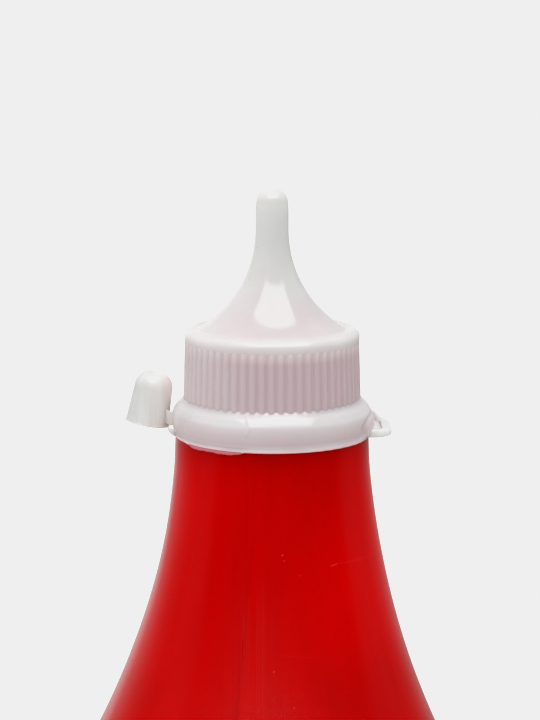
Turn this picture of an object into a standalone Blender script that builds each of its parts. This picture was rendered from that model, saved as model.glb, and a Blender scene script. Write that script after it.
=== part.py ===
"""A shut squeeze bottle of ketchup: a red blown bottle and its white nozzle closure.

The origin is the middle of the base, +Z is up and -Y is the front. Everything is in metres.
Heights on the closure are measured up from its lower lip, and depths on the bottle down from it.
"""

import math

import bmesh
import bpy
from mathutils import Matrix, Vector

MM = 0.001
GAP = 0.3 * MM

# Bottle: a round squeeze bottle for about half a kilogram, with a long waisted shoulder
LIP_HEIGHT = 155.0 * MM
BODY_RADIUS = 35.0 * MM
NECK_BASE_RADIUS = 17.1 * MM
FLARE_SLOPE = 0.035
FLARE_BEND = 4.0
FLARE_DEPTH = 57.5 * MM
SHOULDER_EDGE = 0.6 * MM
NECK_FINISH_RADIUS = 13.4 * MM
NECK_FINISH_HEIGHT = 15.4 * MM
LEAN = 1.1 * MM
LEAN_LOW_DEPTH = 75.0 * MM
LEAN_HIGH_DEPTH = 10.0 * MM
HEEL_RADIUS = 6.5 * MM
HEEL_HEIGHT = 7.5 * MM
STAND_INNER_RADIUS = 22.0 * MM
PUSH_UP = 3.0 * MM
PUSH_UP_POWER = 1.5
BOTTLE_SIDES = 64

# Closure: a screw cap with a closed nozzle, a ribbed grip and a thick collar
SOCKET_RADIUS = 13.75 * MM
SOCKET_HEIGHT = 16.0 * MM
LIP_RADIUS = 17.12 * MM
LIP_THICKNESS = 0.7 * MM
COLLAR_RADIUS = 17.65 * MM
COLLAR_WIDEST_HEIGHT = 2.3 * MM
COLLAR_TOP_HEIGHT = 6.5 * MM
COLLAR_SHOULDER = (2.1 * MM, 4.0 * MM)
COLLAR_SHOULDER_START = 79
COLLAR_FOOT = (1.2 * MM, 1.95 * MM)
COLLAR_FOOT_END = -48
GRIP_FOOT_RADIUS = 15.45 * MM
GRIP_TOP_RADIUS = 15.12 * MM
RIM_PROUD = 0.32 * MM
RIM_EDGE_RADIUS = 1.4 * MM
RIM_HEIGHT = 18.85 * MM
RIM_CREST_RADIUS = 13.5 * MM
RIM_CREST_DROP = 0.08 * MM
RIM_DEPTH = 3.1 * MM
VALLEY_RADIUS = 13.0 * MM
VALLEY_HEIGHT = 18.62 * MM
NOZZLE_RADIUS = 2.88 * MM
NOZZLE_FOOT_RADIUS = 12.43 * MM
NOZZLE_FOOT_HEIGHT = 19.05 * MM
NOZZLE_FOOT_SLOPE = 0.64
FLARE_START_HEIGHT = 36.5 * MM
FLARE_UPPER_REACH = 7.7 * MM
FLARE_LOWER_REACH = 6.9 * MM
TIP_SIZE = (2.7 * MM, 2.08 * MM)
TIP_CENTRE_HEIGHT = 41.35 * MM
TIP_STEP_HEIGHT = 40.5 * MM
TIP_END = 10
RIB_COUNT = 59
RIB_PITCH = math.tau / RIB_COUNT
FRONT_RIB = math.radians(-90.4)
RIB_WIDTH = 1.08 * MM
RIB_HEIGHT = 0.4 * MM
RIB_TOP_HEIGHT = 16.9 * MM
RIB_FOOT_HEIGHT = 5.0 * MM
RIB_ROOT = 0.5 * MM
RIB_DOME = 0.65 * MM

# Tether and tip cover, moulded with the closure: places are from the closure's axis
STRAP_FOOT = 0.12 * MM
STRAP_TOP = 1.4 * MM
STRAP_THICKNESS = 0.65 * MM
EAR_THICKNESS = 1.65 * MM
EAR_BAR_THICKNESS = 1.5 * MM
EAR_BAR_Y = -4.0 * MM
EAR_BAR_START_X = 16.7 * MM
EAR_OUTER_X = 21.1 * MM
EAR_CORNER = 1.5 * MM
EAR_TAPER = ((20.2, 1.6, 1.6), (19.85, 3.9, 1.3), (19.55, 5.6, 0.85), (19.1, 7.1, 0.65), (18.65, 10.0, 0.65))
STRAP_ARC_Y = 7.0 * MM
STRAP_ARC_RADIUS = 18.9 * MM
STRAP_ARC_START = math.radians(15.0)
STRAP_END = (-18.75 * MM, 4.7 * MM)
SWELL_PROUD = 0.5 * MM
SWELL_ANGLE = math.radians(-13)
SWELL_HALF_ANGLE = math.radians(16)
SWELL_EDGE = 1.6
SWELL_HEIGHTS = (3.2 * MM, 6.0 * MM)
FIN_CORNERS = ((-16.9, -3.4), (-18.1, -1.1), (-17.2, 0.1))
FIN_HEIGHTS = (0.2 * MM, 0.75 * MM)
COVER_BASE = (-22.2 * MM, 5.0 * MM, 1.0 * MM)
COVER_TILT = math.radians(10.3)
COVER_RADIUS = 3.78 * MM
COVER_TAPER = math.radians(3.7)
COVER_HEIGHT = 9.25 * MM
COVER_DOME_POWER = 0.86
COVER_DOME_HEIGHT = 2.9 * MM
COVER_BORE_RADIUS = 2.98 * MM
COVER_BORE_DEPTH = 8.5 * MM
COVER_BORE_TAPER = 0.1 * MM
COVER_RIM_EDGE = 0.2 * MM
COVER_SIDES = 28


def clear_scene():
    """Take every object out of the scene."""
    for obj in list(bpy.data.objects):
        bpy.data.objects.remove(obj, do_unlink=True)


def plastic(name, colour, roughness):
    """A moulded plastic with one body colour."""
    material = bpy.data.materials.new(name)
    material.use_nodes = True
    shader = material.node_tree.nodes["Principled BSDF"]
    shader.inputs["Base Color"].default_value = (*colour, 1.0)
    shader.inputs["Roughness"].default_value = roughness
    shader.inputs["Metallic"].default_value = 0.0
    material.diffuse_color = (*colour, 1.0)
    return material


def object_from(bm, name):
    """Put a bmesh into a new object, with its faces pointing out."""
    bmesh.ops.recalc_face_normals(bm, faces=bm.faces)
    mesh = bpy.data.meshes.new(name)
    bm.to_mesh(mesh)
    bm.free()
    obj = bpy.data.objects.new(name, mesh)
    bpy.context.scene.collection.objects.link(obj)
    return obj


def arc(centre, size, start, end, steps):
    """Points on an elliptical arc in the profile plane, from start to end in degrees."""
    points = []
    for step in range(steps + 1):
        angle = math.radians(start + (end - start) * step / steps)
        points.append((centre[0] + size[0] * math.cos(angle), centre[1] + size[1] * math.sin(angle)))
    return points


def turned(name, profile, sides):
    """Spin an (r, z) profile once round the Z axis into a closed skin."""
    bm = bmesh.new()
    verts = [bm.verts.new((r, 0.0, z)) for r, z in profile]
    edges = [bm.edges.new(pair) for pair in zip(verts, verts[1:])]
    if profile[0][0] > 0.0:
        edges.append(bm.edges.new((verts[-1], verts[0])))
    bmesh.ops.spin(
        bm, geom=verts + edges, cent=(0, 0, 0), axis=(0, 0, 1), angle=math.tau, steps=sides, use_merge=True
    )
    bmesh.ops.remove_doubles(bm, verts=bm.verts, dist=0.001 * MM)
    return object_from(bm, name)


def flare_radius(depth):
    """Radius of the bottle's waist: it widens ever faster down from the neck."""
    return NECK_BASE_RADIUS + FLARE_SLOPE * depth + FLARE_BEND * depth * depth


def base_profile():
    """Shallow push-up, flat standing ring and rounded heel."""
    points = []
    steps = 5
    for step in range(steps):
        share = step / steps
        points.append((STAND_INNER_RADIUS * share, PUSH_UP * math.cos(share * math.pi / 2) ** PUSH_UP_POWER))
    points.append((STAND_INNER_RADIUS, 0.0))
    points += arc((BODY_RADIUS - HEEL_RADIUS, HEEL_HEIGHT), (HEEL_RADIUS, HEEL_HEIGHT), -90, 0, 6)
    return points


def shoulder_profile():
    """A round shoulder that runs into the waist at the same slope."""
    slope = FLARE_SLOPE + 2 * FLARE_BEND * FLARE_DEPTH
    angle = math.atan(slope)
    radius = (BODY_RADIUS - flare_radius(FLARE_DEPTH)) / (1 - math.cos(angle))
    centre_z = LIP_HEIGHT - FLARE_DEPTH - radius * math.sin(angle)
    points = arc((BODY_RADIUS - radius, centre_z), (radius, radius), 0, math.degrees(angle), 4)
    steps = 11
    for step in range(1, steps + 1):
        depth = FLARE_DEPTH + (GAP + SHOULDER_EDGE - FLARE_DEPTH) * step / steps
        points.append((flare_radius(depth), LIP_HEIGHT - depth))
    return points


def neck_profile():
    """The ledge under the closure and the plain neck inside it."""
    ledge = LIP_HEIGHT - GAP
    edge_centre = (NECK_BASE_RADIUS - SHOULDER_EDGE, ledge - SHOULDER_EDGE)
    points = arc(edge_centre, (SHOULDER_EDGE, SHOULDER_EDGE), 45, 90, 1)
    top = LIP_HEIGHT + NECK_FINISH_HEIGHT
    points += [(NECK_FINISH_RADIUS, ledge), (NECK_FINISH_RADIUS, top), (0.0, top)]
    return points


def eased(share):
    """Ease in and out between 0 and 1."""
    share = min(max(share, 0.0), 1.0)
    return share * share * (3 - 2 * share)


def lean_share(z):
    """0 low on the body and 1 at the closure, easing in and out between them."""
    low = LIP_HEIGHT - LEAN_LOW_DEPTH
    high = LIP_HEIGHT - LEAN_HIGH_DEPTH
    return eased((z - low) / (high - low))


def make_bottle(material):
    """The blown bottle: its neck stands a little off the middle of its base."""
    profile = base_profile() + shoulder_profile() + neck_profile()
    obj = turned("bottle", profile, BOTTLE_SIDES)
    for vert in obj.data.vertices:
        vert.co.x += LEAN * lean_share(vert.co.z)
    obj.data.shade_smooth()
    obj.data.set_sharp_from_angle(angle=math.radians(35))
    obj.data.materials.append(material)
    return obj


def nozzle_flare_profile():
    """One Bezier curve from the straight nozzle out to the valley inside the rim."""
    run = FLARE_LOWER_REACH / math.hypot(1.0, NOZZLE_FOOT_SLOPE)
    ends = (
        Vector((NOZZLE_RADIUS, FLARE_START_HEIGHT)),
        Vector((NOZZLE_RADIUS, FLARE_START_HEIGHT - FLARE_UPPER_REACH)),
        Vector((NOZZLE_FOOT_RADIUS - run, NOZZLE_FOOT_HEIGHT + run * NOZZLE_FOOT_SLOPE)),
        Vector((NOZZLE_FOOT_RADIUS, NOZZLE_FOOT_HEIGHT)),
    )
    points = []
    steps = 10
    for step in range(steps + 1):
        t = step / steps
        u = 1 - t
        point = u**3 * ends[0] + 3 * u * u * t * ends[1] + 3 * u * t * t * ends[2] + t**3 * ends[3]
        points.append((point.x, point.y))
    return points


def rim_profile():
    """The valley, and the rounded rim outside it."""
    centre = (GRIP_TOP_RADIUS + RIM_PROUD - RIM_EDGE_RADIUS, RIM_HEIGHT - RIM_EDGE_RADIUS)
    points = [(VALLEY_RADIUS, VALLEY_HEIGHT), (RIM_CREST_RADIUS, RIM_HEIGHT - RIM_CREST_DROP)]
    points += arc(centre, (RIM_EDGE_RADIUS, RIM_EDGE_RADIUS), 90, 0, 5)
    points.append((GRIP_TOP_RADIUS, RIM_HEIGHT - RIM_DEPTH))
    return points


def collar_profile():
    """The collar: full and round from the grip down to its widest line, then in to a thin lip."""
    out, up = COLLAR_SHOULDER
    points = [(GRIP_FOOT_RADIUS, COLLAR_TOP_HEIGHT)]
    points += arc((COLLAR_RADIUS - out, COLLAR_WIDEST_HEIGHT), (out, up), COLLAR_SHOULDER_START, 0, 6)
    out, down = COLLAR_FOOT
    points += arc((COLLAR_RADIUS - out, COLLAR_WIDEST_HEIGHT), (out, down), 0, COLLAR_FOOT_END, 2)[1:]
    points += [(LIP_RADIUS, LIP_THICKNESS), (LIP_RADIUS, 0.0)]
    return points


def make_cap():
    """The turned form of the closure, open below so that the neck goes up inside it.

    Its sides are as many as its ribs and lie so that each rib stands in the middle of one.
    """
    profile = arc((0.0, TIP_CENTRE_HEIGHT), TIP_SIZE, 90, TIP_END, 4)
    profile.append((NOZZLE_RADIUS, TIP_STEP_HEIGHT))
    profile += nozzle_flare_profile() + rim_profile() + collar_profile()
    profile += [(SOCKET_RADIUS, 0.0), (SOCKET_RADIUS, SOCKET_HEIGHT), (0.0, SOCKET_HEIGHT)]
    cap = turned("closure", profile, RIB_COUNT)
    cap.data.transform(Matrix.Rotation(FRONT_RIB + RIB_PITCH / 2, 4, "Z"))
    for vert in cap.data.vertices:
        vert.co += swell_at(vert.co)
    return cap


def swell_at(co):
    """How far the collar is pushed out where the tether's bar grows from it."""
    if math.hypot(co.x, co.y) < LIP_RADIUS - 0.1 * MM or co.z < 0.5 * LIP_THICKNESS:
        return Vector((0.0, 0.0, 0.0))
    off = abs(math.atan2(co.y, co.x) - SWELL_ANGLE) / SWELL_HALF_ANGLE
    low, high = SWELL_HEIGHTS
    push = SWELL_PROUD * eased(SWELL_EDGE * (1 - off)) * eased((high - co.z) / (high - low))
    return push * Vector((co.x, co.y, 0.0)).normalized()


def grip_radius(z):
    """The grip's wall is a slight cone."""
    share = (z - COLLAR_TOP_HEIGHT) / (RIM_HEIGHT - RIM_DEPTH - COLLAR_TOP_HEIGHT)
    return GRIP_FOOT_RADIUS + (GRIP_TOP_RADIUS - GRIP_FOOT_RADIUS) * share


def rib_section(bm, angle, z, share):
    """One cross-section of a rib: a half ellipse standing on the wall, with its root inside."""
    radius = grip_radius(z)
    ring = []
    for step in range(5):
        turn = math.pi * step / 4
        side = 0.5 * RIB_WIDTH * share * math.cos(turn)
        out = radius + RIB_HEIGHT * share * math.sin(turn)
        ring.append((out, side))
    ring.append((radius - RIB_ROOT, 0.0))
    cosine = math.cos(angle)
    sine = math.sin(angle)
    return [bm.verts.new((r * cosine - s * sine, r * sine + s * cosine, z)) for r, s in ring]


def make_ribs():
    """Half-round grip ribs with domed tops, whose feet run down into the collar."""
    bm = bmesh.new()
    for index in range(RIB_COUNT):
        angle = FRONT_RIB + index * RIB_PITCH
        rings = [rib_section(bm, angle, RIB_FOOT_HEIGHT, 1.0)]
        for turn in (0, 40, 75):
            height = RIB_TOP_HEIGHT - RIB_DOME + RIB_DOME * math.sin(math.radians(turn))
            rings.append(rib_section(bm, angle, height, math.cos(math.radians(turn))))
        for low, high in zip(rings, rings[1:]):
            for corner in range(len(low)):
                after = (corner + 1) % len(low)
                bm.faces.new((low[corner], low[after], high[after], high[corner]))
        bm.faces.new(rings[0])
        bm.faces.new(rings[-1])
    return object_from(bm, "ribs")


def tether_route():
    """Middle line of the tether with its thickness: ear bar, ear, then the strap behind."""
    route = [(Vector((EAR_BAR_START_X, EAR_BAR_Y)), EAR_BAR_THICKNESS)]
    corner = Vector((EAR_OUTER_X - EAR_THICKNESS / 2 - EAR_CORNER, EAR_BAR_Y + EAR_CORNER))
    for step in range(6):
        turn = math.radians(-90 + 90 * step / 5)
        spot = corner + EAR_CORNER * Vector((math.cos(turn), math.sin(turn)))
        route.append((spot, EAR_THICKNESS))
    route += [(Vector((x, y)) * MM, thickness * MM) for x, y, thickness in EAR_TAPER]
    middle = Vector((0.0, STRAP_ARC_Y))
    steps = 20
    for step in range(steps + 1):
        turn = STRAP_ARC_START + (math.pi - 2 * STRAP_ARC_START) * step / steps
        spot = middle + STRAP_ARC_RADIUS * Vector((math.cos(turn), math.sin(turn)))
        route.append((spot, STRAP_THICKNESS))
    route.append((Vector(STRAP_END), STRAP_THICKNESS))
    return route


def make_tether():
    """A flat band carried along its route, square to it at every point."""
    bm = bmesh.new()
    route = tether_route()
    rings = []
    for index, (spot, thickness) in enumerate(route):
        before = route[max(index - 1, 0)][0]
        after = route[min(index + 1, len(route) - 1)][0]
        along = (after - before).normalized()
        side = Vector((along.y, -along.x)) * thickness / 2
        outer = spot + side
        inner = spot - side
        corners = ((outer, STRAP_FOOT), (outer, STRAP_TOP), (inner, STRAP_TOP), (inner, STRAP_FOOT))
        rings.append([bm.verts.new((at.x, at.y, z)) for at, z in corners])
    for low, high in zip(rings, rings[1:]):
        for corner in range(4):
            after = (corner + 1) % 4
            bm.faces.new((low[corner], low[after], high[after], high[corner]))
    bm.faces.new(rings[0])
    bm.faces.new(rings[-1])
    return object_from(bm, "tether")


def make_fin():
    """The small torn web left on the collar below the tip cover."""
    bm = bmesh.new()
    low = [bm.verts.new((x * MM, y * MM, FIN_HEIGHTS[0])) for x, y in FIN_CORNERS]
    high = [bm.verts.new((x * MM, y * MM, FIN_HEIGHTS[1])) for x, y in FIN_CORNERS]
    bm.faces.new(low)
    bm.faces.new(high)
    for corner in range(3):
        after = (corner + 1) % 3
        bm.faces.new((low[corner], low[after], high[after], high[corner]))
    return object_from(bm, "fin")


def make_cover():
    """The thimble that goes over the nozzle once its tip is cut, open below."""
    dome_foot = COVER_HEIGHT - COVER_DOME_HEIGHT
    dome_radius = COVER_RADIUS - dome_foot * math.tan(COVER_TAPER)
    profile = []
    for step in range(6):
        angle = math.radians(90 - 15 * step) if step < 5 else math.radians(10)
        out = dome_radius * math.cos(angle) ** COVER_DOME_POWER
        profile.append((out, dome_foot + COVER_DOME_HEIGHT * math.sin(angle) ** COVER_DOME_POWER))
    profile[0] = (0.0, COVER_HEIGHT)
    profile.append((dome_radius, dome_foot))
    profile += [(COVER_RADIUS, COVER_RIM_EDGE), (COVER_RADIUS - COVER_RIM_EDGE, 0.0)]
    profile.append((COVER_BORE_RADIUS, 0.0))
    bore_foot = COVER_BORE_DEPTH - COVER_DOME_HEIGHT
    profile += arc((0.0, bore_foot), (COVER_BORE_RADIUS - COVER_BORE_TAPER, COVER_DOME_HEIGHT), 0, 90, 4)
    obj = turned("cover", profile, COVER_SIDES)
    obj.data.transform(Matrix.Translation(COVER_BASE) @ Matrix.Rotation(COVER_TILT, 4, "Y"))
    return obj


def make_closure(material):
    """Join the turned cap, its ribs, the tether and the tip cover into one moulding."""
    cap = make_cap()
    pieces = bpy.data.collections.new("closure pieces")
    bpy.context.scene.collection.children.link(pieces)
    for piece in (make_ribs(), make_tether(), make_fin(), make_cover()):
        bpy.context.scene.collection.objects.unlink(piece)
        pieces.objects.link(piece)
        piece.hide_render = True
        piece.display_type = "WIRE"
    union = cap.modifiers.new("moulded together", "BOOLEAN")
    union.operation = "UNION"
    union.solver = "EXACT"
    union.operand_type = "COLLECTION"
    union.collection = pieces
    bpy.context.view_layer.update()
    graph = bpy.context.evaluated_depsgraph_get()
    joined = bpy.data.meshes.new_from_object(cap.evaluated_get(graph))
    cap.modifiers.clear()
    cap.data = joined
    for piece in list(pieces.objects):
        bpy.data.objects.remove(piece, do_unlink=True)
    bpy.data.collections.remove(pieces)
    cap.data.name = "closure"
    cap.data.materials.clear()
    cap.data.materials.append(material)
    cap.data.shade_smooth()
    cap.data.set_sharp_from_angle(angle=math.radians(35))
    cap.location = (LEAN, 0.0, LIP_HEIGHT)
    return cap


def main():
    """Build both pieces in an empty scene."""
    clear_scene()
    make_bottle(plastic("red blown polyethylene", (0.50, 0.003, 0.004), 0.38))
    make_closure(plastic("white moulded polyethylene", (0.82, 0.80, 0.79), 0.35))


main()
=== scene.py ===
"""Looks for a shut ketchup squeeze bottle: a red blown bottle under a white nozzle closure.

Laid out as an add-on and run as a script. Sizes are in metres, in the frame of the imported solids.
Places on the closure are given from its axis and its lower lip, in millimetres, and turned into
metres by one function. The front of the bottle is -Y.
"""

import math

import bpy
import numpy as np
from bpy.props import FloatProperty, FloatVectorProperty, PointerProperty
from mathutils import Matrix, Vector


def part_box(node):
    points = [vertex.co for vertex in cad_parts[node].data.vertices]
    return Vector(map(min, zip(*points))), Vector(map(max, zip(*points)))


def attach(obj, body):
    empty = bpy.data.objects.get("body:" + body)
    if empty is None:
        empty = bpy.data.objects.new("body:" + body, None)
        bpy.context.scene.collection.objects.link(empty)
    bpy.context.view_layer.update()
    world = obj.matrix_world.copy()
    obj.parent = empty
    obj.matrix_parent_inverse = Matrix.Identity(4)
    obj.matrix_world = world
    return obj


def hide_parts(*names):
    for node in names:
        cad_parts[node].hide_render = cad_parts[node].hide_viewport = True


bl_info = {
    "name": "Ketchup squeeze bottle",
    "version": (1, 0, 0),
    "blender": (4, 5, 0),
    "location": "View3D > Sidebar > Bottle",
    "description": "A red squeeze bottle with a white nozzle closure and a tethered tip cover",
    "category": "Object",
}

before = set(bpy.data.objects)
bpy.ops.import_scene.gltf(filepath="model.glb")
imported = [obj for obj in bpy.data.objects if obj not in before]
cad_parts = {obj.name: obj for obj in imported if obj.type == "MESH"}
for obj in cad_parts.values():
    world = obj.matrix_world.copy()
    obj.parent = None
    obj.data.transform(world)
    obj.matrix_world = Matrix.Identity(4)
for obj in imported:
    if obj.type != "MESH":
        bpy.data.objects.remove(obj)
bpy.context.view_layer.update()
BODY_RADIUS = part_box("bottle")[1].y
LIP_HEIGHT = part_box("closure")[0].z

MM = 0.001
TURN = 2 * math.pi


def to_linear(hex_colour):
    """An sRGB hex colour as linear red, green and blue."""
    levels = [int(hex_colour[i : i + 2], 16) / 255 for i in (1, 3, 5)]
    return tuple(c / 12.92 if c <= 0.04045 else ((c + 0.055) / 1.055) ** 2.4 for c in levels)


def length(name, description, default):
    """A size in metres, as a property that a user can change."""
    return FloatProperty(name=name, description=description, default=default, unit="LENGTH", precision=5)


def colour(name, description, hex_colour):
    """A surface colour, as a property that a user can change."""
    levels = to_linear(hex_colour)
    return FloatVectorProperty(name=name, description=description, default=levels, subtype="COLOR")


class SauceBottleSizes(bpy.types.PropertyGroup):
    """Sizes of the bottle and its closure."""

    body_radius: length("Body radius", "Radius of the straight body", BODY_RADIUS)
    lip_height: length("Lip height", "Height of the closure's lower lip over the table", LIP_HEIGHT)
    lean: length("Neck offset", "How far the neck stands off the middle of the base", 0.0011)
    rib_height: length("Rib height", "How far a grip rib stands out", 0.00026)
    rib_width: length("Rib width", "Width of a grip rib at its foot", 0.0013)
    parting_height: length("Parting line height", "How far the mould's parting line stands out", 0.00006)
    wall_wave: length("Wall wave", "Unevenness of the blown wall", 0.00007)


class SauceBottleColours(bpy.types.PropertyGroup):
    """Colours of the two plastics and of the sauce that shows through."""

    bottle_red: colour("Bottle red", "Coloured polyethylene of the bottle", "#CE0000")
    bottle_dark: colour("Bottle dark red", "Deeper red in the draw lines", "#C90000")
    natural_white: colour("Natural white", "Polyethylene with nothing behind it", "#E4E6E2")
    clear_white: colour("Clear white", "Thin polyethylene with air on both sides", "#F3F4F1")
    rim_white: colour("Rim white", "Thick moulded edges", "#E6E2E1")
    collar_white: colour("Collar white", "Thick top of the collar", "#DEDADB")
    collar_pink: colour("Collar pink", "Thinner foot of the collar", "#D6C6C7")
    sauce_pink: colour("Sauce pink", "Thin wall with sauce behind it", "#CDB4B9")
    rib_pink: colour("Rib pink", "Thicker rib with sauce behind it", "#CCB9BC")
    # Painted light: the lip and the narrow band over it are paler than the plastic, where shade falls.
    lip_painted_light: colour("Lip white", "Rounded edge of the lower lip", "#FFF2F3")
    edge_band_painted_light: colour("Edge band white", "Narrow band just over the lip", "#F0DFE2")
    flare_pink: colour("Flare pink", "Foot of the nozzle with sauce under it", "#D9CDCE")
    under_rim: colour("Under the rim", "Where the grip's pink fades into the rim's white", "#E1CECE")


class SauceBottleStage(bpy.types.PropertyGroup):
    """Camera and studio light."""

    camera_distance: length("Camera distance", "Level distance from the neck to the camera", 0.450)
    camera_height: length("Camera height", "Camera height over the closure's lip", 0.0944)
    camera_tilt: FloatProperty(
        name="Camera tilt",
        description="How far the camera looks down",
        default=math.radians(10.25),
        subtype="ANGLE",
    )
    lens: FloatProperty(name="Lens", description="Focal length in mm on a 36 mm sensor", default=129.85)


# Outlines for turned forms


def arc_line(centre, size, start, end, steps):
    """Points (r, z) on an ellipse's arc: centre + size times cosine and sine of the turn, in degrees."""
    turn = np.radians(np.linspace(start, end, steps + 1))
    return np.stack([centre[0] + size[0] * np.cos(turn), centre[1] + size[1] * np.sin(turn)], axis=1)


def straight_line(start, end, steps):
    """Evenly spaced points from start to end, both kept."""
    share = np.linspace(0, 1, steps + 1)[:, None]
    return np.array(start) * (1 - share) + np.array(end) * share


def bezier_line(knots, steps):
    """A cubic Bezier curve through its first and last points."""
    t = np.linspace(0, 1, steps + 1)[:, None]
    p = [np.array(knot) for knot in knots]
    return (1 - t) ** 3 * p[0] + 3 * t * (1 - t) ** 2 * p[1] + 3 * t * t * (1 - t) * p[2] + t**3 * p[3]


def smooth_line(knots, steps):
    """A Catmull-Rom curve through the knots, with the same number of steps between each pair."""
    knots = np.array(knots, float)
    ends = np.vstack([2 * knots[0] - knots[1], knots, 2 * knots[-1] - knots[-2]])
    t = np.linspace(0, 1, steps, endpoint=False)[:, None]
    runs = []
    for a, b, c, d in zip(ends, ends[1:], ends[2:], ends[3:]):
        curve = 2 * b + (c - a) * t + (2 * a - 5 * b + 4 * c - d) * t**2 + (3 * b - a - 3 * c + d) * t**3
        runs.append(0.5 * curve)
    return np.vstack(runs + [knots[-1:]])


def joined(*runs):
    """Several runs of points end to end, without points less than 2 microns after the last."""
    points = np.vstack(runs)
    step = np.linalg.norm(np.diff(points, axis=0), axis=1)
    return points[np.concatenate([[True], step > 0.002])]


def eased(share):
    """Smooth step: 3 s^2 - 2 s^3 of the share held between 0 and 1."""
    share = np.clip(share, 0.0, 1.0)
    return share * share * (3 - 2 * share)


def bell(value, middle, width):
    """A bell curve, 1 at the middle."""
    return np.exp(-(((value - middle) / width) ** 2))


def from_front(turn):
    """Degrees from the front, where a turn counts from +X and is in radians."""
    return (np.degrees(turn) + 270) % 360 - 180


# Meshes from grids of points


def skin(name, grid, fields):
    """A closed skin over a grid of points (rows, columns, xyz), round in its columns.

    The first and last rows are drawn together into one point each. Faces are turned to point
    outwards by the sign of the volume, the sum of the faces' triple products.
    """
    rows, columns = grid.shape[:2]
    points = np.vstack([grid[0].mean(axis=0), grid[1:-1].reshape(-1, 3), grid[-1].mean(axis=0)])
    last = len(points) - 1
    index = 1 + np.arange((rows - 2) * columns).reshape(rows - 2, columns)
    right = np.roll(index, -1, axis=1)
    quads = np.stack([index[:-1], index[1:], right[1:], right[:-1]], axis=-1).reshape(-1, 4)
    top = np.stack([np.zeros_like(index[0]), index[0], right[0]], axis=-1)
    foot = np.stack([np.full_like(index[0], last), right[-1], index[-1]], axis=-1)
    halves = np.vstack([quads[:, :3], quads[:, [0, 2, 3]], top, foot])
    corners = points[halves]
    volume = np.einsum("ij,ij->i", corners[:, 0], np.cross(corners[:, 1], corners[:, 2])).sum()
    if volume < 0:
        quads, top, foot = quads[:, ::-1], top[:, ::-1], foot[:, ::-1]
    mesh = bpy.data.meshes.new(name)
    mesh.from_pydata(points.tolist(), [], quads.tolist() + top.tolist() + foot.tolist())
    for label, values in fields.items():
        flat = np.concatenate([[values[0].mean()], values[1:-1].ravel(), [values[-1].mean()]])
        mesh.attributes.new(label, "FLOAT", "POINT").data.foreach_set("value", flat.astype(np.float32))
    mesh.shade_smooth()
    if mesh.validate():
        raise RuntimeError(f"{name} has faulty faces")
    piece = bpy.data.objects.new(name, mesh)
    bpy.context.scene.collection.objects.link(piece)
    return piece


def on_closure(points):
    """Millimetres from the closure's axis and lip, as metres in the frame."""
    sizes = bpy.context.scene.sauce_sizes
    return points * MM + np.array([sizes.lean, 0.0, sizes.lip_height])


def turned(radius, height, turn):
    """Points of a turned form: radius times cosine and sine of the turn, at each height."""
    x, y = radius * np.cos(turn), radius * np.sin(turn)
    return np.stack([x, y, height * np.ones_like(x)], axis=-1)


def spun(profile, turn):
    """The radius and the height at each point of an outline, for each turn."""
    return profile[:, :1] * np.ones_like(turn), profile[:, 1:] * np.ones_like(turn)


def raised(level, height):
    """Points from their level places and their heights."""
    return np.concatenate([level, height[..., None]], axis=-1)


def finish_piece(piece, plastic, slot, *nodes):
    """Dress a piece, let it ride on the one body, and hide the solids that it stands for."""
    material = bpy.data.materials.get(plastic)
    if material is None:
        material, tree = new_material(plastic)
        PLASTICS[plastic](tree)
    piece.data.materials.append(material)
    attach(piece, "root")
    if nodes:
        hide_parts(*nodes)


def clear_piece(name, grid, shade):
    """A piece of the closure with nothing red behind it: its grid in mm, and the painted light and shade on
    its colour.
    """
    piece = skin(name, on_closure(grid), {"shade": shade * np.ones(grid.shape[:2])})
    finish_piece(piece, "injection moulded polyethylene", "white_polyethylene")


# The closure, in millimetres from its axis and lip

RIBS = 59
RIB_PITCH = TURN / RIBS
FRONT_RIB = math.radians(-90.4)
# Where the columns of points lie, from one rib's crest to the next.
RIB_COLUMNS = np.array([0.0, 0.08, 0.16, 0.24, 0.32, 0.37, 0.40, 0.60, 0.63, 0.68, 0.76, 0.84, 0.92])
RIB_TOP = 16.9
RIB_DOME = 0.7
GRIP_FOOT = (15.42, 6.62)
GRIP_HEAD = (15.15, 15.2)
COLLAR_TOP = 7.0
NOZZLE_FOOT = 18.9


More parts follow.
